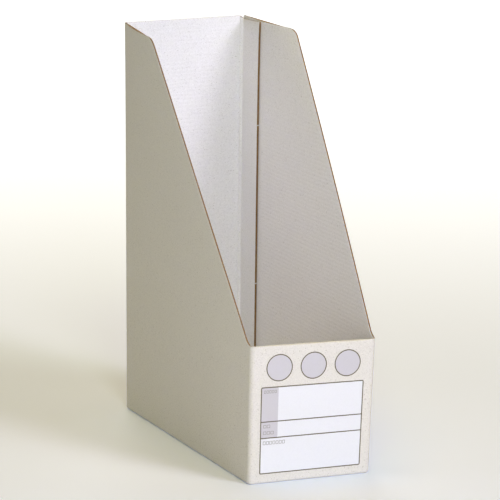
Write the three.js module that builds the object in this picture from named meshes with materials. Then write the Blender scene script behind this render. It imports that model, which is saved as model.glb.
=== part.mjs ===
// Upright magazine file holder folded from one blank of E-flute corrugated board.
//
// Millimetres, +Z up, the front (low) side faces -Y, origin at the middle of the footprint on the floor.
// Every panel of the blank is three glued plies: an outer liner, the fluted medium and an inner liner.
// The fluted medium is drawn here as a plain slab of its own outside size. The panels meet at creases,
// which are the object's hinges: four upright corners that let the sleeve fold flat, the folded top of
// the double front, and the four bottom flaps.
import * as THREE from 'three';

// Driving dimensions
const WIDTH = 102;             // outside, across the two side walls
const DEPTH = 255;             // outside, front face to back face
const HEIGHT = 318;            // floor to the top of the back
const FRONT_HEIGHT = 108;      // floor to the folded top of the front
const BOARD = 1.6;             // thickness of the board
const LINER = 0.2;             // thickness of each liner
const GLUE_LINE = 0.02;        // between a liner and the fluting
const GAP = 0.3;               // between panels that meet

// Side walls
const TOP_LENGTH = 75;         // level top edge, from the back to the start of the slope
const TOP_RADIUS = 15;         // rounding where the level top turns into the slope
const SLOPE_FOOT = 7.5;        // from the front face to the foot of the slope
const FOOT_RADIUS = 13;         // hollow rounding at the foot of the slope
const ARC_STEPS = 6;

// Glued seam inside the right wall
const GLUE_FLAP_REACH = 33;    // from the back face to the flap's cut edge
const GLUE_FLAP_EDGE_DROP = 0.5;    // flap's top below the walls' top, at its cut edge
const GLUE_FLAP_CREASE_DROP = 2.5;  // the same beside its crease, where its top slopes down
const GLUE_FLAP_FOOT = 6;      // flap's lower end above the floor
const GLUE_FILM = 0.16;        // dried adhesive between the flap and the wall
const GLUE_MARGIN = 5;         // bare border around the adhesive

// Inner layer of the double front
const FRONT_FLAP_INSET = 14;   // from each side wall
const FRONT_FLAP_FOOT = 8;     // lower edge above the floor

// Bottom flaps: depth from the wall's outer corner line, and the angle between each end and that line.
// Ends at the two corners that close up as the sleeve folds flat are cut back further.
const RIGHT_FLAP = { depth: 99, nearAngle: 45, farAngle: 90, nearInset: 4, farInset: BOARD + GAP };
const LEFT_FLAP = { depth: 49, nearAngle: 58, farAngle: 45, nearInset: 4, farInset: 7 };
const FRONT_FLAP = { depth: 22, nearAngle: 27, farAngle: 27, nearInset: 3, farInset: 14 };
const BACK_FLAP = { depth: 22, nearAngle: 40, farAngle: 60, nearInset: 26, farInset: 8 };

// Levels and planes worked out from the driving dimensions
const LEFT = -WIDTH / 2;
const RIGHT = WIDTH / 2;
const FRONT = -DEPTH / 2;
const BACK = DEPTH / 2;
const INSET = BOARD + GAP;
const UPPER_LAYER = BOARD + GAP;

// Orientations: each maps an outline's (x, y) and the board's thickness direction into the room.
const SIDE_PANEL = new THREE.Matrix4().makeBasis(
  new THREE.Vector3(0, 1, 0),
  new THREE.Vector3(0, 0, 1),
  new THREE.Vector3(1, 0, 0),
);
const CROSS_PANEL = new THREE.Matrix4().makeBasis(
  new THREE.Vector3(1, 0, 0),
  new THREE.Vector3(0, 0, 1),
  new THREE.Vector3(0, -1, 0),
);
const FLOOR_PANEL = new THREE.Matrix4();

const holder = new THREE.Group();

function linerMaterial(colour) {
  return new THREE.MeshStandardMaterial({ color: colour, roughness: 0.82, metalness: 0 });
}

const OUTER_LINER = { suffix: 'outer_liner', colour: 0xe6e1d6, thickness: LINER };
const FLUTING = { suffix: 'fluting', colour: 0x9a7a50, thickness: BOARD - 2 * LINER - 2 * GLUE_LINE };
const INNER_LINER = { suffix: 'inner_liner', colour: 0xdcdce2, thickness: LINER };
const OUTSIDE_FIRST = [OUTER_LINER, FLUTING, INNER_LINER];
const INSIDE_FIRST = [INNER_LINER, FLUTING, OUTER_LINER];

// A closed outline through corners given as [x, y, radius], rounded where the radius isn't 0.
function outline(corners) {
  const shape = new THREE.Shape();
  const count = corners.length;
  corners.forEach(([x, y, radius], i) => {
    const corner = new THREE.Vector2(x, y);
    const before = corners[(i + count - 1) % count];
    const after = corners[(i + 1) % count];
    const towardsBefore = new THREE.Vector2(before[0], before[1]).sub(corner).normalize();
    const towardsAfter = new THREE.Vector2(after[0], after[1]).sub(corner).normalize();
    const halfAngle = Math.acos(towardsBefore.dot(towardsAfter)) / 2;
    const tangent = radius ? radius / Math.tan(halfAngle) : 0;
    const start = corner.clone().addScaledVector(towardsBefore, tangent);
    const end = corner.clone().addScaledVector(towardsAfter, tangent);
    if (i === 0) shape.moveTo(start.x, start.y);
    else shape.lineTo(start.x, start.y);
    if (!radius) return;
    const bisector = towardsBefore.clone().add(towardsAfter).normalize();
    const centre = corner.clone().addScaledVector(bisector, radius / Math.sin(halfAngle));
    const from = Math.atan2(start.y - centre.y, start.x - centre.x);
    const to = Math.atan2(end.y - centre.y, end.x - centre.x);
    const clockwise = towardsBefore.cross(towardsAfter) > 0;
    shape.absarc(centre.x, centre.y, radius, from, to, clockwise);
  });
  return shape;
}

function rectangle(x0, y0, x1, y1) {
  return outline([[x0, y0, 0], [x1, y0, 0], [x1, y1, 0], [x0, y1, 0]]);
}

function slab(name, shape, thickness, material) {
  const options = { depth: thickness, bevelEnabled: false, curveSegments: ARC_STEPS };
  const mesh = new THREE.Mesh(new THREE.ExtrudeGeometry(shape, options), material);
  mesh.name = name;
  return mesh;
}

// One panel of board: three plies of the same outline, stacked from `place` along the panel's thickness.
function boardPanel(name, shape, orientation, place, plies) {
  const panel = new THREE.Group();
  let level = 0;
  for (const ply of plies) {
    const mesh = slab(`${name}_${ply.suffix}`, shape, ply.thickness, linerMaterial(ply.colour));
    mesh.position.z = level;
    panel.add(mesh);
    level += ply.thickness + GLUE_LINE;
  }
  panel.quaternion.setFromRotationMatrix(orientation);
  panel.position.set(...place);
  holder.add(panel);
}

// Side wall, seen from the side: level top at the back, straight slope, short level stretch at the front.
function sideWallOutline() {
  return outline([
    [FRONT, 0, 0],
    [BACK, 0, 0],
    [BACK, HEIGHT, 0],
    [BACK - TOP_LENGTH, HEIGHT, TOP_RADIUS],
    [FRONT + SLOPE_FOOT, FRONT_HEIGHT, FOOT_RADIUS],
    [FRONT, FRONT_HEIGHT, 0],
  ]);
}

// Bottom flap in its own coordinates: s along the wall from one outer corner to the other, d inwards.
function flapOutline(length, flap, toRoom) {
  const cot = (degrees) => 1 / Math.tan(THREE.MathUtils.degToRad(degrees));
  const near = (d) => flap.nearInset + (d - INSET) * cot(flap.nearAngle);
  const far = (d) => length - flap.farInset - (d - INSET) * cot(flap.farAngle);
  const corners = [
    [near(INSET), INSET],
    [far(INSET), INSET],
    [far(flap.depth), flap.depth],
    [near(flap.depth), flap.depth],
  ];
  return outline(corners.map(([s, d]) => [...toRoom(s, d), 0]));
}

function addSideWalls() {
  boardPanel('left_wall', sideWallOutline(), SIDE_PANEL, [LEFT, 0, 0], OUTSIDE_FIRST);
  boardPanel('right_wall', sideWallOutline(), SIDE_PANEL, [RIGHT - BOARD, 0, 0], INSIDE_FIRST);
}

function addFrontAndBack() {
  const front = rectangle(LEFT + INSET, 0, RIGHT - INSET, FRONT_HEIGHT);
  const back = rectangle(LEFT + INSET, 0, RIGHT - INSET, HEIGHT);
  boardPanel('front_wall', front, CROSS_PANEL, [0, FRONT + BOARD, 0], INSIDE_FIRST);
  boardPanel('back_wall', back, CROSS_PANEL, [0, BACK, 0], OUTSIDE_FIRST);
}

// The front's inner layer hangs from the folded top, printed side towards the contents.
function addFrontInnerFlap() {
  const side = WIDTH / 2 - FRONT_FLAP_INSET;
  const shape = rectangle(-side, FRONT_FLAP_FOOT, side, FRONT_HEIGHT - GAP);
  boardPanel('front_inner_flap', shape, CROSS_PANEL, [0, FRONT + 2 * BOARD + GAP, 0], OUTSIDE_FIRST);
}

// The glue flap turns in from the back wall and lies inside the right wall.
function addGlueSeam() {
  const lowTop = HEIGHT - GLUE_FLAP_CREASE_DROP;
  const shape = outline([
    [BACK - GLUE_FLAP_REACH, GLUE_FLAP_FOOT, 0],
    [BACK - INSET, GLUE_FLAP_FOOT, 0],
    [BACK - INSET, lowTop, 0],
    [BACK - GLUE_FLAP_REACH, HEIGHT - GLUE_FLAP_EDGE_DROP, 0],
  ]);
  boardPanel('glue_flap', shape, SIDE_PANEL, [RIGHT - INSET - BOARD, 0, 0], INSIDE_FIRST);
  const adhesive = rectangle(
    BACK - GLUE_FLAP_REACH + GLUE_MARGIN,
    GLUE_FLAP_FOOT + GLUE_MARGIN,
    BACK - INSET - GLUE_MARGIN,
    lowTop - GLUE_MARGIN,
  );
  const material = new THREE.MeshStandardMaterial({ color: 0xe8e0c8, roughness: 0.4, metalness: 0 });
  const film = slab('glue_film', adhesive, GLUE_FILM, material);
  const seam = new THREE.Group();
  seam.add(film);
  seam.quaternion.setFromRotationMatrix(SIDE_PANEL);
  seam.position.set(RIGHT - INSET + (GAP - GLUE_FILM) / 2, 0, 0);
  holder.add(seam);
}

// The right flap spans the floor as the lower layer; the other three lie on it as the upper layer.
function addBottomFlaps() {
  const fromLeft = (s, d) => [LEFT + d, FRONT + s];
  const fromRight = (s, d) => [RIGHT - d, FRONT + s];
  const fromFront = (s, d) => [LEFT + s, FRONT + d];
  const fromBack = (s, d) => [LEFT + s, BACK - d];
  const flaps = [
    ['bottom_right_flap', flapOutline(DEPTH, RIGHT_FLAP, fromRight), 0],
    ['bottom_left_flap', flapOutline(DEPTH, LEFT_FLAP, fromLeft), UPPER_LAYER],
    ['bottom_front_flap', flapOutline(WIDTH, FRONT_FLAP, fromFront), UPPER_LAYER],
    ['bottom_back_flap', flapOutline(WIDTH, BACK_FLAP, fromBack), UPPER_LAYER],
  ];
  for (const [name, shape, level] of flaps) {
    boardPanel(name, shape, FLOOR_PANEL, [0, 0, level], OUTSIDE_FIRST);
  }
}

addSideWalls();
addFrontAndBack();
addFrontInnerFlap();
addGlueSeam();
addBottomFlaps();

export default holder;
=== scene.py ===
# Magazine file holder of white-faced E-flute board: the visual model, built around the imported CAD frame.
# Lengths are in metres, in the frame's own axes: +Z up, the low front faces -Y, +X to the right.
import math

import bmesh
import bpy
import numpy as np
from mathutils import Matrix, Vector


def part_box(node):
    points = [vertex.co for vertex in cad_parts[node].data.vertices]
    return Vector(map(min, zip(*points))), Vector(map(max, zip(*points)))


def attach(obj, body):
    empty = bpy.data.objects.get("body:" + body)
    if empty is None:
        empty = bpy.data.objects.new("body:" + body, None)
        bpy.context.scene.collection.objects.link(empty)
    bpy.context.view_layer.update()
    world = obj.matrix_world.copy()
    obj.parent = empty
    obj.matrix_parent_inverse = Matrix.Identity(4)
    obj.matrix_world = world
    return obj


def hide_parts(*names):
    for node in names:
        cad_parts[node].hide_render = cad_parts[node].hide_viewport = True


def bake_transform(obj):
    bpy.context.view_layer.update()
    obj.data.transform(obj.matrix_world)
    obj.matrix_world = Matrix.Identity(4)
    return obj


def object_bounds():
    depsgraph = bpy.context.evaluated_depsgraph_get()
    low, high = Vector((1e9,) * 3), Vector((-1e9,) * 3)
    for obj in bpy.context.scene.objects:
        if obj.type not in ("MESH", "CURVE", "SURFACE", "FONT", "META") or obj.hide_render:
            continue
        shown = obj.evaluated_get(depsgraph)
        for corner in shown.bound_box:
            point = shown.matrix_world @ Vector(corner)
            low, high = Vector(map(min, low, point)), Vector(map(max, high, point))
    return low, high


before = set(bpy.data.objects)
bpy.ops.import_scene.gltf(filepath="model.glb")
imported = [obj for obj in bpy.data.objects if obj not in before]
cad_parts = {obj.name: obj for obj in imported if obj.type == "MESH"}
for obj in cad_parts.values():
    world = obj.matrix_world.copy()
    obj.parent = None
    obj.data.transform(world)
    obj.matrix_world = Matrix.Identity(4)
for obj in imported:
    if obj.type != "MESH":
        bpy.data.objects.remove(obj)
CAD_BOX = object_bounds()

MM = 0.001
LEFT, FRONT, FLOOR = CAD_BOX[0]
RIGHT, BACK, TOP = CAD_BOX[1]
HALF_WIDTH = (RIGHT - LEFT) / 2

# -------------------- sizes taken from the CAD nodes
WALL_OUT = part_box("left_wall_outer_liner")
WALL_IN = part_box("left_wall_inner_liner")
FRONT_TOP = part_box("front_wall_fluting")[1].z
BOARD = WALL_IN[1].x - WALL_OUT[0].x
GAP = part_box("back_wall_fluting")[0].x - WALL_IN[1].x
INSET = BOARD + GAP
GLUE_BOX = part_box("glue_flap_fluting")
FILM_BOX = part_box("glue_film")
INNER_FLAP_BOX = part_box("front_inner_flap_fluting")
glue_flap_points = [v.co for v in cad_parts["glue_flap_fluting"].data.vertices]
GLUE_FLAP_CREASE_TOP = max(point.z for point in glue_flap_points if point.y > GLUE_BOX[1].y - 1 * MM)
GLUE_FLAP_SLOPE = (GLUE_BOX[1].z - GLUE_FLAP_CREASE_TOP) / (GLUE_BOX[1].y - GLUE_BOX[0].y)

# -------------------- board and folds
LINER = 0.30 * MM               # paper face, as thick as its edge looks
CORE = BOARD - 2 * LINER        # space that the fluting fills
MEDIUM = 0.24 * MM              # the fluting's own paper
FLUTE_PITCH = 3.2 * MM
FLUTE_STEPS = 8                 # mesh rows in one flute
CORNER_RADIUS = 3.9 * MM        # outside of a front corner
BACK_CORNER_RADIUS = 2.6 * MM   # outside of the back left corner
SEAM_RADIUS = 3.7 * MM          # outside of the wider, double-scored corner at the glue flap
FLOOR_RADIUS = 2.2 * MM         # outside of the bend under a wall
FOLD_RADIUS = (2 * BOARD + GAP) / 2     # outside of the fold over the front's top edge
CREASE_CLEAR = 20 * MM          # from a corner to the bottom's inner creases, clear of the folded walls
EDGE_CRUSH = 0.42               # share of its thickness that the board loses at a level cut edge
SLOPE_CRUSH = 0.10              # the same at a sloping cut edge
CRUSH_REACH = 0.8 * MM          # how far in that fades
CORNER_MEDIUM = (0.34, 0.66)    # depths of the flattened fluting in a corner, as shares of the board
SEAM_MEDIUM = (0.30, 0.55)      # the same in the corner at the glue flap
FOLD_MEDIUM = (0.40 * MM, 0.75 * MM)    # its depths in the fold over the front's top edge
FOLD_EASE = 4 * MM              # length beyond the inner flap over which that fold gets shallower
SEAM_SCORE = 0.4 * MM           # size of the ridge at each of the seam's two scores

# -------------------- side wall sizes
TOP_LENGTH = 75 * MM            # level top, back to the start of the slope
TOP_RADIUS = 15 * MM
SLOPE_FOOT = 7.5 * MM           # front face to the foot of the slope
FOOT_RADIUS = 13 * MM

# -------------------- how the empty board relaxes
BOW_LEFT = 9.0 * MM             # free top corner of the left wall, outwards
BOW_RIGHT = 10.5 * MM           # free top corner of the right wall, outwards
BOW_START = 40 * MM             # height where the walls begin to bow
BOW_RISE = 1.2                  # power by which the bow grows with height
FRONT_HOLD = 6                  # power of the depth by which the front holds the bow back
BOW_EARLY = 2.2                 # the left wall opens at its crease, then runs straight on
BOW_LATE = 2.8                  # the right wall is held by the glue flap, and curls towards its free edge
LEAN_LEFT = (2.8 * MM, -1.9 * MM)   # the left wall's lean at full height, by its back and its front edge
LEAN_RIGHT = (0.3 * MM, 9.4 * MM)   # the same for the right wall
LEAN_POWERS = (1.0, 1.5)        # powers by which the left and the right lean pass from back to front
SIDE_START = 0.86               # share of the half width from where a point goes wholly with its side wall
FRONT_LEAN = 1.85 * MM          # the front's top edge, forwards
FRONT_LEAN_POWER = 1.5          # power by which that grows with height
FRONT_TILT = 1.0 * MM           # the front's top edge, up at the left and down at the right
FRONT_REACH = 110 * MM          # how far back the front's own set is felt
FRONT_LIMIT = 1.2               # heights of the front up to where its set still grows

# -------------------- mesh spacing
ALONG_STEP = 6 * MM             # along creases and the straight parts of a wall
ARC_STEPS = (0.5 * MM, 1.0 * MM)    # along the side wall's foot arc and its top arc
CUT_ROWS = np.array([0.0, 0.35, 0.8, 1.5, 2.6]) * MM    # distances of mesh rows from a cut edge
FLUTE_COLUMNS = np.array([0.0, 0.02, 0.1, 0.25, 0.4, 0.55, 0.7, 0.85, 0.98, 1.0])   # shares of a flute
WALL_ROWS = 30                  # mesh rows under a sloping top
SHARP_ANGLE = 32                # degrees from where an edge is drawn sharp


# ==================== mesh helpers
def new_mesh(name, points, faces, *materials):
    mesh = bpy.data.meshes.new(name)
    mesh.from_pydata(points.tolist(), [], faces)
    for material in materials:
        mesh.materials.append(material)
    return mesh


def finish_mesh(name, mesh):
    """The object made of a mesh, with its faces turned outwards and its sharp edges found."""
    mesh.validate()
    work = bmesh.new()
    work.from_mesh(mesh)
    bmesh.ops.recalc_face_normals(work, faces=work.faces)
    work.to_mesh(mesh)
    work.free()
    mesh.shade_smooth()
    mesh.set_sharp_from_angle(angle=math.radians(SHARP_ANGLE))
    piece = bpy.data.objects.new(name, mesh)
    bpy.context.scene.collection.objects.link(piece)
    return piece


def solid_between(name, side_a, side_b, material, backed=None, is_kraft_or_shade=None):
    """A closed sheet between two grids of points of the same size, each rows x columns x 3.
    If asked, its side 0 or 1 is backed with kraft, and so are the rim faces that its last argument picks.
    That kraft is partly the liner's brown core and partly painted shade."""
    rows, cols, _ = side_a.shape
    count = rows * cols
    points = np.concatenate([side_a.reshape(-1, 3), side_b.reshape(-1, 3)])
    index = np.arange(count).reshape(rows, cols)
    quad = np.stack([index[:-1, :-1], index[:-1, 1:], index[1:, 1:], index[1:, :-1]], -1).reshape(-1, 4)
    rim = np.concatenate([index[0, :-1], index[:-1, -1], index[-1, :0:-1], index[:0:-1, 0]])
    ahead = np.roll(rim, -1)
    wall = np.stack([rim, rim + count, ahead + count, ahead], -1)
    faces = np.concatenate([quad, quad[:, ::-1] + count, wall])
    if backed is None:
        return finish_mesh(name, new_mesh(name, points, faces.tolist(), material))
    mesh = new_mesh(name, points, faces.tolist(), material, KRAFT)
    for face in mesh.polygons[backed * len(quad):(backed + 1) * len(quad)]:
        face.material_index = 1
    for face in mesh.polygons[2 * len(quad):]:
        # Rim faces picked here get kraft: the liner's brown core, and painted shade on the side of an edge
        # away from the light
        face.material_index = int(is_kraft_or_shade is not None and is_kraft_or_shade(face))
    return finish_mesh(name, mesh)


def relax(points):
    """The set of the empty box: its side walls lean and bow outwards, and the front leans and tilts."""
    x, y, z = points[..., 0], points[..., 1], points[..., 2]
    from_back = np.clip((BACK - y) / (BACK - FRONT), 0, 1)
    slope_run = (BACK - TOP_LENGTH) - (FRONT + SLOPE_FOOT)
    free_edge = TOP_LENGTH + (TOP - z) * slope_run / (TOP - FRONT_TOP)
    reach = np.clip((BACK - y) / np.minimum(free_edge, BACK - FRONT), 0, 1)
    rise = np.clip((z - BOW_START) / (TOP - BOW_START), 0, 1) ** BOW_RISE
    bow = rise * (1 - from_back ** FRONT_HOLD)
    side = np.clip(x / (SIDE_START * HALF_WIDTH), -1, 1)
    leans = [(back + (front - back) * from_back ** power) * z / TOP
             for (back, front), power in zip((LEAN_LEFT, LEAN_RIGHT), LEAN_POWERS)]
    left = BOW_LEFT * bow * (1 - (1 - reach) ** BOW_EARLY) + leans[0]
    right = BOW_RIGHT * bow * reach ** BOW_LATE + leans[1]
    share = (side + 1) / 2
    sideways = right * share - left * (1 - share)
    near_front = np.clip(1 - (y - FRONT) / FRONT_REACH, 0, 1) ** 2
    height = np.clip(z / FRONT_TOP, 0, FRONT_LIMIT)
    lean = FRONT_LEAN * near_front * height ** FRONT_LEAN_POWER
    tilt = FRONT_TILT * near_front * height * side
    return np.stack([x + sideways, y - lean, z - tilt], -1)


def steps(start, end, size):
    """Values from start to end, evenly spaced and at most size apart."""
    count = max(1, math.ceil(abs(end - start) / size - 1e-9))
    return np.linspace(start, end, count + 1)


# ==================== materials
def new_material(name):
    material = bpy.data.materials.new(name)
    material.use_nodes = True
    tree = material.node_tree
    shader = tree.nodes["Principled BSDF"]
    return material, tree, shader


def node(tree, kind, **settings):
    made = tree.nodes.new(kind)
    for key, value in settings.items():
        if key in made.inputs:
            made.inputs[key].default_value = value
        else:
            setattr(made, key, value)
    return made


def noise(tree, vector, scale, detail, roughness):
    made = node(tree, "ShaderNodeTexNoise", Scale=scale, Detail=detail, Roughness=roughness)
    tree.links.new(vector, made.inputs["Vector"])
    return made.outputs["Fac"]


def ramp(tree, value, stops):
    made = node(tree, "ShaderNodeValToRGB")
    elements = made.color_ramp.elements
    while len(elements) < len(stops):
        elements.new(0.5)
    for element, (position, colour) in zip(elements, stops):
        element.position = position
        element.color = (*colour, 1)
    tree.links.new(value, made.inputs["Fac"])
    return made.outputs["Color"]


def feed(tree, socket, value):
    """A link, a colour or a number into a socket."""
    if isinstance(value, bpy.types.NodeSocket):
        tree.links.new(value, socket)
    elif isinstance(value, tuple):
        socket.default_value = (*value, 1)
    else:
        socket.default_value = value


def mix(tree, factor, colour_a, colour_b):
    """One colour mixed into another. The node takes colours at inputs 6 and 7 and gives one at output 2."""
    made = node(tree, "ShaderNodeMix", data_type="RGBA")
    for number, value in ((0, factor), (6, colour_a), (7, colour_b)):
        feed(tree, made.inputs[number], value)
    return made.outputs[2]


def grey(level):
    return (level, level, level)


def math_node(tree, operation, a, b=0.0):
    made = node(tree, "ShaderNodeMath", operation=operation)
    for socket, value in zip(made.inputs, (a, b)):
        feed(tree, socket, value)
    return made.outputs[0]


def stretched(tree, vector, scale):
    made = node(tree, "ShaderNodeMapping", Scale=scale)
    tree.links.new(vector, made.inputs["Vector"])
    return made.outputs["Vector"]


def shade(colour, factor):
    return tuple(min(1.0, c * factor) for c in colour)


def around(middle, below, above):
    """Ramp stops in grey, from a little below a level to a little above it."""
    return [(0.3, grey(middle - below)), (0.7, grey(middle + above))]


def paper_material(name, colour, speck, roughness, ribs):
    """Recycled board liner: soft mottle, drawn-out fibres, small dark specks and faint flute ribs."""
    material, tree, shader = new_material(name)
    place = node(tree, "ShaderNodeTexCoord").outputs["Object"]
    mottle = noise(tree, place, scale=14, detail=5.0, roughness=0.65)
    cloud = noise(tree, place, scale=900, detail=3.0, roughness=0.65)
    along = stretched(tree, place, (1500, 1500, 5200))
    across = stretched(tree, place, (4200, 1700, 1300))
    fibre = noise(tree, along, scale=1.0, detail=2.0, roughness=0.7)
    cross_fibre = noise(tree, across, scale=1.0, detail=2.0, roughness=0.7)
    specks = noise(tree, place, scale=1150, detail=1.0, roughness=0.4)
    darker = shade(colour, 0.80)
    lighter = shade(colour, 1.13)
    base = ramp(tree, mottle, [(0.32, shade(colour, 0.975)), (0.7, shade(colour, 1.02))])
    base = mix(tree, 0.52, base, ramp(tree, cloud, [(0.32, darker), (0.68, lighter)]))
    base = mix(tree, 0.30, base, ramp(tree, fibre, [(0.35, darker), (0.65, lighter)]))
    base = mix(tree, ramp(tree, specks, [(0.67, grey(0.0)), (0.76, grey(0.7))]), base, speck)
    tree.links.new(base, shader.inputs["Base Color"])
    tree.links.new(ramp(tree, cloud, around(roughness, 0.05, 0.06)), shader.inputs["Roughness"])
    shader.inputs["Specular IOR Level"].default_value = 0.32
    shader.inputs["Sheen Weight"].default_value = 0.06
    split = node(tree, "ShaderNodeSeparateXYZ")
    tree.links.new(place, split.inputs[0])
    wave = math_node(tree, "MULTIPLY", split.outputs["Z"], 2 * math.pi / FLUTE_PITCH)
    rib = math_node(tree, "MULTIPLY", math_node(tree, "SINE", wave), ribs)
    grain = math_node(tree, "MULTIPLY", math_node(tree, "ADD", fibre, cross_fibre), 0.35)
    relief = math_node(tree, "MULTIPLY", cloud, 0.5)
    height = math_node(tree, "ADD", math_node(tree, "ADD", rib, grain), relief)
    add_bump(tree, shader, height, strength=0.35, distance=0.12 * MM)
    return material


def add_bump(tree, shader, height, strength, distance):
    bump = node(tree, "ShaderNodeBump", Strength=strength, Distance=distance)
    tree.links.new(height, bump.inputs["Height"])
    tree.links.new(bump.outputs["Normal"], shader.inputs["Normal"])


def kraft_material():
    """Unbleached fluting paper, seen at the cut edges."""
    material, tree, shader = new_material("kraft_fluting")
    place = node(tree, "ShaderNodeTexCoord").outputs["Object"]
    patch = noise(tree, place, scale=420, detail=4.0, roughness=0.65)
    along = stretched(tree, place, (5000, 1800, 1800))
    fibre = noise(tree, along, scale=1.0, detail=3.0, roughness=0.7)
    browns = [(0.3, (0.23, 0.125, 0.05)), (0.55, (0.36, 0.205, 0.09)), (0.8, (0.50, 0.31, 0.15))]
    base = ramp(tree, patch, browns)
    base = mix(tree, 0.35, base, ramp(tree, fibre, [(0.35, (0.22, 0.125, 0.06)), (0.7, (0.50, 0.33, 0.17))]))
    tree.links.new(base, shader.inputs["Base Color"])
    tree.links.new(ramp(tree, patch, [(0.3, grey(0.82)), (0.7, grey(0.95))]), shader.inputs["Roughness"])
    shader.inputs["Specular IOR Level"].default_value = 0.2
    add_bump(tree, shader, fibre, strength=0.5, distance=0.15 * MM)
    return material


def print_material(name, colour, roughness, show_paper):
    """A printed field: even ink that lets the paper's grain through by show_paper."""
    material, tree, shader = new_material(name)
    place = node(tree, "ShaderNodeTexCoord").outputs["Object"]
    cloud = noise(tree, place, scale=700, detail=3.0, roughness=0.6)
    grain = noise(tree, place, scale=3800, detail=2.0, roughness=0.6)
    pale = tuple(min(1.0, c + show_paper) for c in colour)
    base = ramp(tree, grain, [(0.35, colour), (0.75, pale)])
    base = mix(tree, 0.25, base, ramp(tree, cloud, [(0.3, shade(colour, 0.94)), (0.7, pale)]))
    tree.links.new(base, shader.inputs["Base Color"])
    tree.links.new(ramp(tree, cloud, around(roughness, 0.05, 0.05)), shader.inputs["Roughness"])
    shader.inputs["Specular IOR Level"].default_value = 0.35
    add_bump(tree, shader, grain, strength=0.2, distance=0.06 * MM)
    return material


OUTER_PAPER = paper_material("outer_paper", colour=(0.715, 0.685, 0.62), speck=(0.34, 0.30, 0.22),
                             roughness=0.60, ribs=0.22)
INNER_PAPER = paper_material("inner_paper", colour=(0.875, 0.865, 0.88), speck=(0.42, 0.40, 0.38),
                             roughness=0.66, ribs=0.75)
KRAFT = kraft_material()
INK = print_material("olive_ink", (0.125, 0.105, 0.050), roughness=0.5, show_paper=0.02)
WHITE_FIELD = print_material("label_white", (0.745, 0.75, 0.765), roughness=0.48, show_paper=0.04)
TINT = print_material("label_tint", (0.555, 0.535, 0.555), roughness=0.5, show_paper=0.03)
CAPTION = print_material("caption_grey", (0.27, 0.25, 0.22), roughness=0.5, show_paper=0.05)
ADHESIVE = print_material("dried_adhesive", (0.80, 0.76, 0.62), roughness=0.35, show_paper=0.05)


# ==================== board panels
PANEL_STEP = 12 * MM            # between mesh rows where a panel is plain
PANEL_SHARE = 0.08              # between mesh columns there, as a share of the panel's length
TOP_STEP = 3 * MM               # between mesh columns under the glue flap's sloping top
LEVEL_PROBE = 0.2 * MM          # how far to each side an edge is read, to tell whether it is level
LEVEL_RISE = 0.1 * MM           # rise between those two readings that still counts as level


def even_stations(start, end):
    return steps(start, end, TOP_STEP)


class Panel:
    """One flat panel of board. u runs along the flutes, v across them and w from the outer face inwards.
    edges(v) gives the panel's two ends, and top(u), where there is one, its upper edge over each u."""

    def __init__(self, body, place, v_range, edges, top=None, stations=None, cut_v=()):
        self.body = body
        self.place = place
        self.v_range = v_range
        self.edges = edges
        self.top = top
        self.stations = stations or even_stations
        self.cut_v = cut_v      # levels of the cut edges across v, where the board is crushed

    def crush(self, u, v):
        """Share of its thickness that the board keeps at a point, given how near the cut edges are."""
        keep = np.ones(np.broadcast(u, v).shape)
        for level in self.cut_v:
            keep -= EDGE_CRUSH * np.exp(-np.abs(v - level) / CRUSH_REACH)
        if self.top is not None:
            below = np.maximum(self.top(u) - v, 0)
            rise = np.abs(self.top(u + LEVEL_PROBE) - self.top(u - LEVEL_PROBE))
            keep -= np.where(rise < LEVEL_RISE, EDGE_CRUSH, SLOPE_CRUSH) * np.exp(-below / CRUSH_REACH)
        return np.maximum(keep, 1 - EDGE_CRUSH)

    def points(self, u, v, w):
        middle = BOARD / 2
        w = middle + (w - middle) * self.crush(u, v)
        return relax(self.place(u, v, w))


def edge_rows(low, high, size, dense_low, dense_high):
    """Values from low to high, closer together towards an end that is a cut edge."""
    start = low + CUT_ROWS if dense_low else np.array([low])
    end = (high - CUT_ROWS)[::-1] if dense_high else np.array([high])
    return np.concatenate([start[:-1], steps(start[-1], end[0], size), end[1:]])


def liner_grid(panel, w):
    """Points of a flat face of the board at the depth w: rows follow v, columns u."""
    low, high = panel.v_range
    if panel.top is None:
        v = edge_rows(low, high, PANEL_STEP, low in panel.cut_v, high in panel.cut_v)
        ends = [panel.edges(level) for level in v]
        shares = steps(0.0, 1.0, PANEL_SHARE)
        u = np.array([[a + (b - a) * share for share in shares] for a, b in ends])
        v = np.repeat(v[:, None], len(shares), 1)
    else:
        u_line = panel.stations(*panel.edges(low))
        tops = panel.top(u_line)
        part = np.linspace(0, 1, WALL_ROWS)[:-1]
        body = low + np.outer(part, tops - CUT_ROWS[-1] - low)
        rim = tops[None, :] - CUT_ROWS[::-1, None]
        v = np.concatenate([body, rim])
        u = np.repeat(u_line[None, :], len(v), 0)
    return panel.points(u, v, np.full(u.shape, w))


def fluting_grid(panel, side):
    """Points of one face of the wavy medium, its outer one for side -1 and its inner one for side 1."""
    low, high = panel.v_range
    rows = steps(low, high, FLUTE_PITCH / FLUTE_STEPS)
    ends = np.array([panel.edges(level) for level in rows])
    u = ends[:, :1] + (ends[:, 1:] - ends[:, :1]) * FLUTE_COLUMNS[None, :]
    v = np.repeat(rows[:, None], len(FLUTE_COLUMNS), 1)
    phase = 2 * math.pi * v / FLUTE_PITCH
    swing = (CORE - MEDIUM) / 2
    slope = 2 * math.pi / FLUTE_PITCH * swing * np.cos(phase)
    thick = MEDIUM * np.sqrt(1 + slope ** 2)
    w = BOARD / 2 + swing * np.sin(phase) + side * thick / 2
    return panel.points(u, v, w)


SLOPING_NORMALS = (0.1, 0.97)   # how far up the rim of a side wall faces along its slope
EDGE_ROOM = 0.2 * MM            # a rim face this near the glue flap's cut edge belongs to it


def on_slope(face):
    low, high = SLOPING_NORMALS
    return low < abs(face.normal.z) < high


def on_flap_edge(face):
    return face.center.y < GLUE_BOX[0].y + EDGE_ROOM
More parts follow.
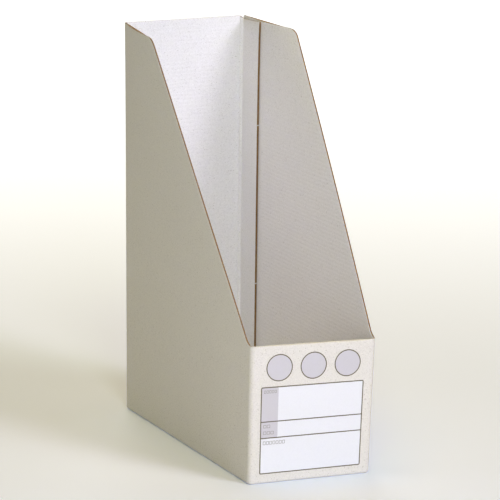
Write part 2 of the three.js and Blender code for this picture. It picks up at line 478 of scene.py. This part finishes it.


# The cut edges drawn in kraft brown over the whole thickness of the ply, where they look dark. This is partly
# the brown core under a liner's white face and partly painted shade: only the side of a wall's edge that the
# light misses is drawn so, and the glue flap's brown edge also stands for its own shadow.
KRAFT_OR_SHADE_EDGES = {
    ("left_wall", "inner_liner"): on_slope,
    ("right_wall", "outer_liner"): on_slope,
    ("glue_flap", "outer_liner"): on_flap_edge,
    ("glue_flap", "inner_liner"): on_flap_edge,
}


def build_panel(name, panel):
    plies = [
        ("outer_liner", liner_grid(panel, 0.0), liner_grid(panel, LINER), OUTER_PAPER, 1),
        ("fluting", fluting_grid(panel, -1), fluting_grid(panel, 1), KRAFT, None),
        ("inner_liner", liner_grid(panel, BOARD - LINER), liner_grid(panel, BOARD), INNER_PAPER, 0),
    ]
    for ply, side_a, side_b, material, backed in plies:
        is_kraft_or_shade = KRAFT_OR_SHADE_EDGES.get((name, ply))
        piece = solid_between(f"{name}_{ply}_board", side_a, side_b, material, backed, is_kraft_or_shade)
        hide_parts(f"{name}_{ply}")
        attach(piece, panel.body)


# -------------------- side wall outline, as y -> z and z -> y
OUTLINE_SAMPLES = 4001          # places where the outline's height is read to go from z to y
SLOPE_START = Vector((FRONT + SLOPE_FOOT, FRONT_TOP))
SLOPE_END = Vector((BACK - TOP_LENGTH, TOP))
SLOPE_ANGLE = math.atan2(SLOPE_END.y - SLOPE_START.y, SLOPE_END.x - SLOPE_START.x)
FOOT_TANGENT = FOOT_RADIUS * math.tan(SLOPE_ANGLE / 2)
TOP_TANGENT = TOP_RADIUS * math.tan(SLOPE_ANGLE / 2)
FOOT_ENDS = (SLOPE_START.x - FOOT_TANGENT, SLOPE_START.x + FOOT_TANGENT * math.cos(SLOPE_ANGLE))
TOP_ENDS = (SLOPE_END.x - TOP_TANGENT * math.cos(SLOPE_ANGLE), SLOPE_END.x + TOP_TANGENT)


def wall_top(y):
    """Height of the side wall's upper edge at y."""
    y = np.asarray(y, float)
    straight = SLOPE_START.y + (y - SLOPE_START.x) * math.tan(SLOPE_ANGLE)
    foot = FRONT_TOP + FOOT_RADIUS - np.sqrt(np.maximum(FOOT_RADIUS ** 2 - (y - FOOT_ENDS[0]) ** 2, 0))
    crest = TOP - TOP_RADIUS + np.sqrt(np.maximum(TOP_RADIUS ** 2 - (TOP_ENDS[1] - y) ** 2, 0))
    height = np.where(y < FOOT_ENDS[0], FRONT_TOP, foot)
    height = np.where(y > FOOT_ENDS[1], straight, height)
    height = np.where(y > TOP_ENDS[0], crest, height)
    return np.where(y > TOP_ENDS[1], TOP, height)


def profile_stations(start, end):
    """Values of y along a side wall, close together round the two arcs. The wall starts in the foot's arc."""
    parts = [
        steps(max(start, FOOT_ENDS[0]), FOOT_ENDS[1], ARC_STEPS[0]),
        steps(FOOT_ENDS[1], TOP_ENDS[0], ALONG_STEP)[1:],
        steps(*TOP_ENDS, ARC_STEPS[1])[1:],
        steps(TOP_ENDS[1], end, ALONG_STEP)[1:],
    ]
    return np.concatenate(parts)


def wall_edges(start, end):
    """The side wall's two ends at a height: its front or sloping edge, and its back edge."""
    fine = np.linspace(FRONT, BACK, OUTLINE_SAMPLES)
    heights = wall_top(fine)

    def ends(z):
        if z <= FRONT_TOP:
            return start, end
        return max(start, float(np.interp(z, heights, fine))), end

    return ends


def side_place(face, sign):
    """The place of an upright panel along y: its outer face is at x = face, and sign points inwards."""

    def place(u, v, w):
        return np.stack([face + sign * w, u, v], -1)

    return place


def end_place(face, sign):
    """The same for a panel along x, with its outer face at y = face."""

    def place(u, v, w):
        return np.stack([u, face + sign * w, v], -1)

    return place


LEAST_FLAP = 0.2 * MM           # width that the glue flap keeps at the top of its slope


def glue_flap_top(y):
    """Height of the glue flap's top edge, which slopes down towards its crease."""
    low, high = GLUE_BOX
    return high.z - GLUE_FLAP_SLOPE * (np.asarray(y, float) - low.y)


def glue_flap_edges(z):
    """The glue flap's cut edge and its crease at a height."""
    low, high = GLUE_BOX
    reach = low.y + max(high.z - z, 0) / GLUE_FLAP_SLOPE
    return low.y, min(max(reach, low.y + LEAST_FLAP), BACK - SEAM_RADIUS)


def level_ends(start, end):
    """The edges of a panel whose two ends are at the same places all the way up."""
    return lambda v: (start, end)


def build_walls():
    low = FLOOR + FLOOR_RADIUS
    side_front = FRONT + CORNER_RADIUS
    build_panel("left_wall", Panel("left_wall", side_place(LEFT, 1), (low, TOP),
                                   wall_edges(side_front, BACK - BACK_CORNER_RADIUS), wall_top,
                                   profile_stations))
    build_panel("right_wall", Panel("right_wall", side_place(RIGHT, -1), (low, TOP),
                                    wall_edges(side_front, BACK), wall_top, profile_stations))
    build_panel("front_wall", Panel("front_wall", end_place(FRONT, 1), (low, FRONT_TOP - FOLD_RADIUS),
                                    level_ends(LEFT + CORNER_RADIUS, RIGHT - CORNER_RADIUS)))
    build_panel("back_wall", Panel("back_wall", end_place(BACK, -1), (low, TOP),
                                   level_ends(LEFT + BACK_CORNER_RADIUS, RIGHT - INSET - SEAM_RADIUS),
                                   cut_v=(TOP,)))


def build_inner_flaps():
    """The front's inner flap and the glue flap."""
    low, high = INNER_FLAP_BOX
    inner_face = end_place(FRONT + 2 * BOARD + GAP, -1)
    build_panel("front_inner_flap", Panel("front_inner_flap", inner_face, (low.z, FRONT_TOP - FOLD_RADIUS),
                                          level_ends(low.x, high.x), cut_v=(low.z,)))
    low, high = GLUE_BOX
    build_panel("glue_flap", Panel("glue_flap", side_place(RIGHT - INSET, -1), (low.z, high.z),
                                   glue_flap_edges, glue_flap_top, cut_v=(low.z,)))


# ==================== creases
LEAST_RADIUS = 0.1 * MM         # what a corner's foot keeps of its radius, and
LEAST_SHARE = 0.04              # the share of it that is added, so that its plies stay apart
FOOT_ROWS = 8                   # mesh rows round a foot
FOLD_STEP = 1.5 * MM            # mesh spacing along the fold over the front's top edge
FOLD_COLUMNS = 15               # and round it


def strip(name, paths, material):
    """A bent band of paper across a crease, from the outer and inner points of each station along it."""
    outer, inner = (relax(np.asarray(side, float)) for side in paths)
    piece = solid_between(name, outer, inner, material)
    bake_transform(piece)
    return piece


def arc(centre, radius, start_degrees, end_degrees, count=10):
    """Points of an arc round a centre in a plane, from one angle to another."""
    angles = np.radians(np.linspace(start_degrees, end_degrees, count))
    return np.stack([centre[0] + radius * np.cos(angles), centre[1] + radius * np.sin(angles)], -1)


def upright(points, heights):
    """Plan points swept up through the heights: rows follow the height, columns the bend."""
    grid = np.zeros((len(heights), len(points), 3))
    grid[..., :2] = points[None]
    grid[..., 2] = np.asarray(heights)[:, None]
    return grid


def tucked(grid, centre):
    """The same with its foot rounded under towards the centre, as the bottom creases beside it are."""
    below = np.clip((FLOOR_RADIUS - grid[..., 2] + FLOOR) / FLOOR_RADIUS, 0, 1)
    tuck = FLOOR_RADIUS * (1 - np.sqrt(1 - below ** 2))
    away = grid[..., :2] - np.asarray(centre)
    length = np.linalg.norm(away, axis=-1)
    kept = np.maximum(length - tuck, LEAST_RADIUS + length * LEAST_SHARE)
    grid[..., :2] = np.asarray(centre) + away * (kept / length)[..., None]
    return grid


def corner_crease(name, centre, angles, top, radius):
    """The three plies of an upright corner, bent about one centre."""
    foot = FLOOR + FLOOR_RADIUS * (1 - np.cos(np.linspace(0, math.pi / 2, FOOT_ROWS)))
    heights = np.concatenate([foot[:-1], steps(FLOOR + FLOOR_RADIUS, top, ALONG_STEP)])
    plies = [
        ("outer_liner", (radius, radius - LINER), OUTER_PAPER),
        ("fluting", [radius - BOARD * depth for depth in CORNER_MEDIUM], KRAFT),
        ("inner_liner", (radius - BOARD + LINER, radius - BOARD), INNER_PAPER),
    ]
    for ply, radii, material in plies:
        paths = [tucked(upright(arc(centre, r, *angles), heights), centre) for r in radii]
        strip(f"{name}_{ply}", paths, material)


def build_upright_creases():
    radius = CORNER_RADIUS
    corner_crease("front_left_corner", (LEFT + radius, FRONT + radius),
                  (180, 270), FRONT_TOP, radius)
    corner_crease("front_right_corner", (RIGHT - radius, FRONT + radius),
                  (270, 360), FRONT_TOP, radius)
    back_radius = BACK_CORNER_RADIUS
    corner_crease("back_left_corner", (LEFT + back_radius, BACK - back_radius),
                  (180, 90), TOP, back_radius)


def seam_chamfer(corner, leg):
    """Plan points of the inner liner round the seam: a flat across the corner, with a ridge at each score.
    The second half mirrors the first."""
    ridge_foot = (-leg * 0.98, -SEAM_SCORE * 0.2)
    ridge = (-leg * 0.90, SEAM_SCORE * 0.9)
    half = [(-leg, 0), ridge_foot, ridge, (-leg * 0.80, -leg * 0.12)]
    middle = (-leg * 0.5, -leg * 0.44)
    return np.array(corner) + np.array([*half, middle, *(point[::-1] for point in half[::-1])])


def seam_crease():
    """The double-scored corner between the back wall and the glue flap: two scores with a flat between."""
    r = SEAM_RADIUS
    x, y = RIGHT - INSET, BACK
    foot = GLUE_BOX[0].z
    heights = steps(foot, TOP, ALONG_STEP)

    def sloping(points):
        """Swept up, with its top falling from the back wall's to the flap's."""
        grid = upright(points, heights)
        fall = np.linspace(0, 1, len(points)) * (TOP - GLUE_FLAP_CREASE_TOP)
        grid[..., 2] = foot + (grid[..., 2] - foot) * (1 - fall / (TOP - foot))
        return grid

    outer, outer_in, *medium = [arc((x - r, y - r), radius, 90, 0)
                                for radius in (r, r - LINER, *(r - BOARD * depth for depth in SEAM_MEDIUM))]
    chamfer = seam_chamfer((x - BOARD, y - BOARD), r - BOARD)
    deeper = chamfer + LINER * math.sqrt(0.5)
    strip("seam_corner_outer_liner", [sloping(p) for p in (outer, outer_in)],
          OUTER_PAPER)
    strip("seam_corner_inner_liner", [sloping(p) for p in (chamfer, deeper)],
          INNER_PAPER)
    strip("seam_corner_fluting", [sloping(p) for p in medium], KRAFT)


def front_fold():
    """The front's top edge: one rounded fold over the inner flap, shallower near the corners."""
    flap_half = INNER_FLAP_BOX[1].x
    stations = steps(LEFT + CORNER_RADIUS, RIGHT - CORNER_RADIUS, FOLD_STEP)
    turn = np.radians(np.linspace(180, 0, FOLD_COLUMNS))

    def band(inset):
        """Points of the fold at a depth below its outer face: rows follow x, columns the bend."""
        rows = []
        for x in stations:
            past = np.clip((abs(x) - flap_half) / FOLD_EASE, 0, 1)
            half = FOLD_RADIUS - inset + (BOARD / 2 - FOLD_RADIUS) * past
            y = FRONT + inset + half * (1 + np.cos(turn))
            z = FRONT_TOP - FOLD_RADIUS + (FOLD_RADIUS - inset) * np.sin(turn)
            rows.append(np.stack([np.full(len(turn), x), y, z], -1))
        return np.array(rows)

    strip("front_fold_outer_liner", (band(0), band(LINER)), OUTER_PAPER)
    strip("front_fold_fluting", [band(depth) for depth in FOLD_MEDIUM], KRAFT)


# ==================== bottom flaps
def flap_depth_outline(node_name, along, inwards, wall, sign):
    """(edges, deepest) of a bottom flap, read from its CAD node: its two ends at each depth from the wall."""
    corners = sorted({(round(v.co[along], 6), round(sign * (v.co[inwards] - wall), 6))
                      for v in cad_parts[node_name].data.vertices}, key=lambda p: (p[1], p[0]))
    shallow, deep = corners[:2], corners[-2:]

    def edges(depth):
        share = (depth - shallow[0][1]) / (deep[0][1] - shallow[0][1])
        return tuple(a[0] + (b[0] - a[0]) * share for a, b in zip(shallow, deep))

    return edges, deep[0][1]


LOWEST_FLAP = "bottom_right_flap"
FLAP_CLEAR = 0.3 * MM           # room between it and the bends above it
NARROW_LATE = 4                 # power by which a bend keeps the wall's length before it takes the flap's
INNER_BEND_POINTS = 6
BEND_START = 0.01 * MM          # how far up the wall's inner face a bend begins
BOTTOM_FLAPS = {
    # name: (wall body, axis along the crease, axis inwards, wall's outer face, direction inwards)
    "bottom_right_flap": ("right_wall", 1, 0, RIGHT, -1),
    "bottom_left_flap": ("left_wall", 1, 0, LEFT, 1),
    "bottom_front_flap": ("front_wall", 0, 1, FRONT, 1),
    "bottom_back_flap": ("back_wall", 0, 1, BACK, -1),
}


def floor_point(along, inwards, wall, sign, u, depth, z):
    """Grid points from the place along the crease, the depth from the wall's face and the height."""
    u, depth, z = np.broadcast_arrays(u, depth, z)
    points = np.zeros((*u.shape, 3))
    points[..., along] = u
    points[..., inwards] = wall + sign * depth
    points[..., 2] = z
    return points


def clear_of_bends(edges, deepest):
    """The lowest flap's outline, stopped short of the bends that lead up to the flaps that lie on it."""
    upper_bend = FLOOR_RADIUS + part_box("bottom_left_flap_outer_liner")[0].z + FLAP_CLEAR

    def short_edges(depth):
        front_end, back_end = edges(depth)
        return front_end, min(back_end, BACK - upper_bend)

    return short_edges, min(deepest, RIGHT - LEFT - upper_bend)


def build_bottom_flap(name):
    _, along, inwards, wall, sign = BOTTOM_FLAPS[name]
    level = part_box(f"{name}_outer_liner")[0].z
    bend = FLOOR_RADIUS + level
    edges, deepest = flap_depth_outline(f"{name}_fluting", along, inwards, wall, sign)
    if name == LOWEST_FLAP:
        edges, deepest = clear_of_bends(edges, deepest)

    def place(u, v, w):
        return floor_point(along, inwards, wall, sign, u, v, level + w)

    build_panel(name, Panel(name, place, (bend, deepest), edges, cut_v=(deepest,)))
    bottom_crease(name, level, bend, edges(bend))


def bottom_crease(name, level, bend, flap_ends):
    """The bend under a wall: its liners, between the wall's two ends and the flap's."""
    wall_body, along, inwards, wall, sign = BOTTOM_FLAPS[name]
    if along == 1:
        wall_ends = (FRONT + CORNER_RADIUS, BACK - BACK_CORNER_RADIUS)
    else:
        left_corner = CORNER_RADIUS if sign > 0 else BACK_CORNER_RADIUS
        wall_ends = (LEFT + left_corner, RIGHT - CORNER_RADIUS)
    wall_line = steps(*wall_ends, ALONG_STEP)
    flap_line = np.interp(wall_line, wall_ends, flap_ends)
    short_line = np.clip(flap_line, wall_ends[0] + CREASE_CLEAR, wall_ends[1] - CREASE_CLEAR)
    outer_paths = [under_wall_path(level, bend, inset) for inset in (0.0, LINER)]
    inner_paths = [inner_wall_path(level, bend, inset) for inset in (BOARD, BOARD - LINER)]
    start = floor_point(along, inwards, wall, sign, 0.0, 0.0, bend)
    end = floor_point(along, inwards, wall, sign, 0.0, bend, level)
    plies = [
        ("outer_liner", OUTER_PAPER, outer_paths, wall_line, flap_line),
        ("inner_liner", INNER_PAPER, inner_paths, short_line, short_line),
    ]
    for ply, material, paths, by_wall, by_flap in plies:
        grids = []
        for path in paths:
            share = np.linspace(0, 1, len(path))[None, :] ** NARROW_LATE
            lengthwise = by_wall[:, None] * (1 - share) + by_flap[:, None] * share
            depth, height = path[None, :, 0], path[None, :, 1]
            grids.append(floor_point(along, inwards, wall, sign, lengthwise, depth, height))
        strip(f"{name}_crease_{ply}", grids, material)


def under_wall_path(level, bend, inset):
    """(depth, height) from the wall's outer face, round its bottom edge, to the flap's underside."""
    radius = FLOOR_RADIUS - inset
    round_edge = arc((FLOOR_RADIUS, FLOOR_RADIUS), radius, 180, 270, FOOT_ROWS)
    if level == 0:
        return round_edge
    rise = np.linspace(0, 1, FOOT_ROWS)[1:]
    ease = rise * rise * (3 - 2 * rise)
    up = np.stack([FLOOR_RADIUS + rise * (bend - FLOOR_RADIUS), inset + ease * level], -1)
    return np.concatenate([round_edge, up])


def inner_wall_path(level, bend, inset):
    """(depth, height) down a wall's inner face and out along the flap's upper face, round a small radius.
    inset is the depth below the board's outer face."""
    radius = FLOOR_RADIUS - inset
    height = level + inset
    turn = arc((inset + radius, height + radius), radius, 180, 270, INNER_BEND_POINTS)
    first = np.array([[inset, max(height + radius, FLOOR_RADIUS) + BEND_START]])
    last = np.array([[bend, height]])
    return np.concatenate([first, turn, last])


# ==================== glue, nicks and printing
FILM_STEPS = (3 * MM, 8 * MM)   # mesh spacing of the dried glue, across and up
NICK_HEIGHTS = (233.3 * MM, 103 * MM)
NICK_REACH = 0.4 * MM           # half a nick's height
NICK_DEPTHS = (0.92, 0.08)      # where it begins and ends, as shares of the board's thickness
NICK_LIFT = 0.02 * MM           # how far it stands off the cut edge at least
NICK_SWELL = 0.25 * MM          # and how much more in the middle
NICK_ROOT = 0.3 * MM            # how far it goes into the board
NICK_BULGE = 1.3                # radians of the bulge's cosine, to each end
NICK_COUNT = 5                  # mesh rows and columns


def build_glue_film():
    low, high = FILM_BOX
    across = steps(low.y, high.y, FILM_STEPS[0])
    upwards = steps(low.z, high.z, FILM_STEPS[1])
    y, z = np.meshgrid(across, upwards, indexing="ij")
    sides = [relax(np.stack([np.full(y.shape, x), y, z], -1)) for x in (low.x, high.x)]
    film = solid_between("glue_film_dried", *sides, ADHESIVE)
    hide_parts("glue_film")
    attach(film, "glue_flap")


def build_nicks():
    """The two light spots on the glue flap's cut edge, taken for nicks that held the blank in its sheet."""
    edge = GLUE_BOX[0].y
    swell = NICK_SWELL * np.cos(np.linspace(-NICK_BULGE, NICK_BULGE, NICK_COUNT))
    across = np.linspace(*(RIGHT - INSET - BOARD * depth for depth in NICK_DEPTHS), NICK_COUNT)
    for number, height in enumerate(NICK_HEIGHTS, 1):
        upwards = np.linspace(height - NICK_REACH, height + NICK_REACH, NICK_COUNT)
        x, z = np.meshgrid(across, upwards, indexing="ij")
        front = relax(np.stack([x, np.broadcast_to(edge - NICK_LIFT - swell, x.shape), z], -1))
        rear = relax(np.stack([x, np.full(x.shape, edge + NICK_ROOT), z], -1))
        nick = solid_between(f"glue_flap_nick_{number}", front, rear, INNER_PAPER)
        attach(nick, "glue_flap")


# Printing on the front: places are (x, z) in metres, from the middle of the front and the floor.
INK_LIFT = 0.012 * MM           # room under each layer
INK_THICKNESS = 0.02 * MM
UNDER_LAYER, COLUMN_LAYER, BORDER_LAYER, MARK_LAYER = range(4)    # from the paper outwards
FIELD_RINGS = 10                # rings of faces in a filled field
LINE_RINGS = 3                  # rings of points across a drawn line
LABEL_LEFT, LABEL_RIGHT = -41.8 * MM, 41.4 * MM
LABEL_BOTTOM, LABEL_TOP = 8.0 * MM, 75.4 * MM
LABEL_RADIUS = 0.8 * MM
LINE = 0.8 * MM                 # width of the drawn lines
RULES = (48.5 * MM, 35.7 * MM)  # heights of the two lines across the label
COLUMN = 13.9 * MM              # width of the tinted column
SPOT_RADIUS = 10.3 * MM
SPOT_HEIGHT = 90.4 * MM
SPOT_PITCH = 27.75 * MM         # from one circle to the next
SPOT_MIDDLE = 0.1 * MM          # the middle one's place
CAPTIONS = [
    # Plain placeholder boxes: height of the row, how many, width and height of each
    (72.0 * MM, 5, 1.6 * MM, 2.4 * MM),
    (44.9 * MM, 2, 2.5 * MM, 2.5 * MM),
    (39.8 * MM, 3, 2.5 * MM, 2.5 * MM),
    (31.9 * MM, 7, 2.1 * MM, 2.7 * MM),
]
CAPTION_MARGIN = 2.1 * MM       # from the label's left edge to the first box
CAPTION_SPACE = 0.55 * MM       # between two boxes
CAPTION_STROKE = 0.32 * MM      # width of a box's own line
BOX_ROUNDING = 0.12             # corner radius of a printed box, as a share of its shorter side


def printed(name, shapes, layer, material):
    """Flat printed shapes as one thin solid: each is (outer, inner), loops of (x, z) points, or (outer, None)
    for a filled field."""
    lift = INK_LIFT + layer * (INK_THICKNESS + INK_LIFT)
    points, faces = [], []
    for outer, inner in shapes:
        filled = inner is None
        target = outer.mean(0) if filled else inner
        shares = np.linspace(0, 1, FIELD_RINGS)[:-1] if filled else np.linspace(0, 1, LINE_RINGS)
        rings = np.concatenate([outer + (target - outer) * share for share in shares])
        if filled:
            rings = np.concatenate([rings, target[None]])
        count, size, start = len(outer), len(rings), len(points)
        for depth in (lift + INK_THICKNESS, lift):
            points += [(x, FRONT - depth, z) for x, z in rings]
        following = [(j + 1) % count for j in range(count)]
        last = (len(shares) - 1) * count
        flat = [(i + j, i + k, i + count + k, i + count + j)
                for i in range(0, last, count) for j, k in enumerate(following)]
        if filled:
            flat += [(last + j, last + k, size - 1) for j, k in enumerate(following)]
        walls = [(j, j + size, k + size, k) for j, k in enumerate(following)]
        if not filled:
            walls += [(last + k, last + k + size, last + j + size, last + j) for j, k in enumerate(following)]
        flat += [tuple(i + size for i in face[::-1]) for face in flat]
        faces += [tuple(i + start for i in face) for face in flat + walls]
    piece = finish_mesh(name, new_mesh(name, relax(np.array(points)), faces, material))
    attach(piece, "front_wall")


def rounded_loop(x0, z0, x1, z1, radius, per_corner=6, per_side=12):
    """A closed loop round a rectangle with rounded corners, with points along its sides too."""
    corners = [((x1 - radius, z1 - radius), 0), ((x0 + radius, z1 - radius), 90),
               ((x0 + radius, z0 + radius), 180), ((x1 - radius, z0 + radius), 270)]
    points = []
    for i, (centre, angle) in enumerate(corners):
        bend = arc(centre, radius, angle, angle + 90, per_corner)
        following, next_angle = corners[(i + 1) % 4]
        target = arc(following, radius, next_angle, next_angle + 90, per_corner)[0]
        points += [*bend, *(bend[-1] + (target - bend[-1]) * s for s in np.linspace(0, 1, per_side)[1:-1])]
    return np.array(points)


def box_loop(x0, z0, x1, z1):
    return rounded_loop(x0, z0, x1, z1, min(x1 - x0, z1 - z0) * BOX_ROUNDING)


def build_label():
    half = LINE / 2

    def outline(grow):
        return rounded_loop(LABEL_LEFT - grow, LABEL_BOTTOM - grow, LABEL_RIGHT + grow,
                            LABEL_TOP + grow, LABEL_RADIUS + grow)

    printed("label_field", [(outline(0), None)], UNDER_LAYER, WHITE_FIELD)
    column = box_loop(LABEL_LEFT, RULES[1], LABEL_LEFT + COLUMN, LABEL_TOP)
    printed("label_column", [(column, None)], COLUMN_LAYER, TINT)
    printed("label_border", [(outline(half), outline(-half))], BORDER_LAYER, INK)
    rules = [(box_loop(LABEL_LEFT, height - half, LABEL_RIGHT, height + half), None) for height in RULES]
    printed("label_rules", rules, MARK_LAYER, INK)
    for number, row in enumerate(CAPTIONS, 1):
        printed(f"label_caption_boxes_{number}", caption_boxes(*row), MARK_LAYER, CAPTION)


def caption_boxes(height, count, width, tall):
    """The outlines of one row of placeholder boxes."""
    low, high = height - tall / 2, height + tall / 2
    stroke = CAPTION_STROKE
    boxes = []
    for i in range(count):
        x = LABEL_LEFT + CAPTION_MARGIN + i * (width + CAPTION_SPACE)
        outer = box_loop(x, low, x + width, high)
        boxes.append((outer, box_loop(x + stroke, low + stroke, x + width - stroke, high - stroke)))
    return boxes


def circle(x, z, radius, count=64):
    return arc((x, z), radius, 0, 360 * (count - 1) / count, count)


def build_spots():
    for number in range(3):
        x = SPOT_MIDDLE + (number - 1) * SPOT_PITCH
        outer, inner = (circle(x, SPOT_HEIGHT, SPOT_RADIUS + step) for step in (LINE / 2, -LINE / 2))
        field = circle(x, SPOT_HEIGHT, SPOT_RADIUS)
        printed(f"spot_{number + 1}_field", [(field, None)], UNDER_LAYER, TINT)
        printed(f"spot_{number + 1}_ring", [(outer, inner)], COLUMN_LAYER, INK)


# ==================== studio
CAMERA_TURN = (-23.137, 12.436, 0.584)      # azimuth, elevation and roll, in degrees
CAMERA_DISTANCE = 3.7435
CAMERA_TARGET = Vector((0.00282, 0, 0.15383))
CAMERA_LENS = 342.84
SENSOR_WIDTH = 36
VIEW_DEPTH = 60                 # metres that the camera sees
LIGHT_AIM = Vector((0, 0, 0.14))
# The lights' colours and powers were fitted together, to bring the faces near the photo's tones.
LIGHTS = [
    # name, place, diameter, power, colour
    ("key", (1.3, -2.9, 1.7), 1.0, 36, (0.87, 0.77, 1.0)),
    ("high_key", (1.7, -2.6, 2.6), 1.4, 29.5, (0.90, 1.0, 0.92)),
    ("above", (-0.2, 0.4, 3.0), 1.8, 26, (1.0, 0.66, 0.20)),
    ("left_front", (-1.0, -2.4, 2.4), 1.2, 18, (0.83, 1.0, 0.03)),
    ("low_front", (-0.35, -1.3, 0.5), 0.4, 7.2, (0.68, 0.66, 1.0)),
    ("near_left", (-0.6, -0.8, 0.1), 0.3, 1.0, (1.0, 0.95, 0.88)),
    ("behind", (0.7, 2.9, 2.0), 1.6, 29, (1.0, 1.0, 1.0)),
]
ROOM_COLOUR = (1.0, 0.97, 0.86)
ROOM_STRENGTH = 0.09
FLOOR_COLOUR = (0.87, 0.91, 1.0, 1)
FLOOR_ROUGHNESS = 0.9
FLOOR_HALF_SIZE = 14.0
FLOOR_DROP = 0.02 * MM
# The floor glows behind the object, as a lit backdrop does: along it, away from the camera.
GLOW_DIRECTION = (0.393, 0.920, 0.0)
NEAR_GLOW = (0.0, 0.015, 0.045)         # a little blue, as the lights on the floor there are warm
FAR_GLOW = (0.56, 0.58, 0.60)
GLOW_START, GLOW_END = -0.1, 1.5        # metres along that direction


def floor_material():
    """Pale backdrop paper that glows where it is far behind the object."""
    material, tree, shader = new_material("studio_floor")
    shader.inputs["Base Color"].default_value = FLOOR_COLOUR
    shader.inputs["Roughness"].default_value = FLOOR_ROUGHNESS
    place = node(tree, "ShaderNodeTexCoord").outputs["Object"]
    away = node(tree, "ShaderNodeVectorMath", operation="DOT_PRODUCT")
    tree.links.new(place, away.inputs[0])
    away.inputs[1].default_value = GLOW_DIRECTION
    shader.inputs["Emission Strength"].default_value = 1.0
    glow = node(tree, "ShaderNodeMapRange", interpolation_type="SMOOTHSTEP")
    tree.links.new(away.outputs["Value"], glow.inputs["Value"])
    glow.inputs["From Min"].default_value = GLOW_START
    glow.inputs["From Max"].default_value = GLOW_END
    tree.links.new(mix(tree, glow.outputs["Result"], NEAR_GLOW, FAR_GLOW), shader.inputs["Emission Color"])
    return material


def build_floor():
    half = FLOOR_HALF_SIZE
    corners = np.array([(-half, -half, 0), (half, -half, 0), (half, half, 0), (-half, half, 0)])
    floor = bpy.data.objects.new("studio_floor", new_mesh("floor", corners, [(0, 1, 2, 3)], floor_material()))
    bpy.context.scene.collection.objects.link(floor)
    floor.location.z = FLOOR - FLOOR_DROP


def build_room():
    world = bpy.data.worlds.new("studio")
    bpy.context.scene.world = world
    world.use_nodes = True
    background = world.node_tree.nodes["Background"]
    background.inputs["Color"].default_value = (*ROOM_COLOUR, 1)
    background.inputs["Strength"].default_value = ROOM_STRENGTH


def add_light(name, place, size, power, colour):
    lamp = bpy.data.lights.new(name, "AREA")
    lamp.shape = "DISK"
    lamp.size = size
    lamp.energy = power
    lamp.color = colour
    light = bpy.data.objects.new(name, lamp)
    bpy.context.scene.collection.objects.link(light)
    light.location = place
    light.visible_camera = False
    light.rotation_mode = "QUATERNION"
    light.rotation_quaternion = (LIGHT_AIM - Vector(place)).to_track_quat("-Z", "Y")


def build_camera():
    azimuth, elevation, roll = (math.radians(a) for a in CAMERA_TURN)
    back = Vector((math.sin(azimuth) * math.cos(elevation), -math.cos(azimuth) * math.cos(elevation),
                   math.sin(elevation)))
    level = Vector((math.cos(azimuth), math.sin(azimuth), 0))
    upward = back.cross(level)
    right = math.cos(roll) * level + math.sin(roll) * upward
    data = bpy.data.cameras.new("camera")
    data.sensor_width = SENSOR_WIDTH
    data.lens = CAMERA_LENS
    data.clip_end = VIEW_DEPTH
    camera = bpy.data.objects.new("camera", data)
    bpy.context.scene.collection.objects.link(camera)
    camera.location = CAMERA_TARGET + back * CAMERA_DISTANCE
    camera.rotation_euler = Matrix((right, back.cross(right), back)).transposed().to_euler()
    bpy.context.scene.camera = camera
    bpy.context.scene.view_settings.view_transform = "Standard"


build_camera()
build_walls()
build_inner_flaps()
build_upright_creases()
seam_crease()
front_fold()
for flap_name in BOTTOM_FLAPS:
    build_bottom_flap(flap_name)
build_glue_film()
build_nicks()
build_label()
build_spots()
build_floor()
build_room()
for light in LIGHTS:
    add_light(*light)
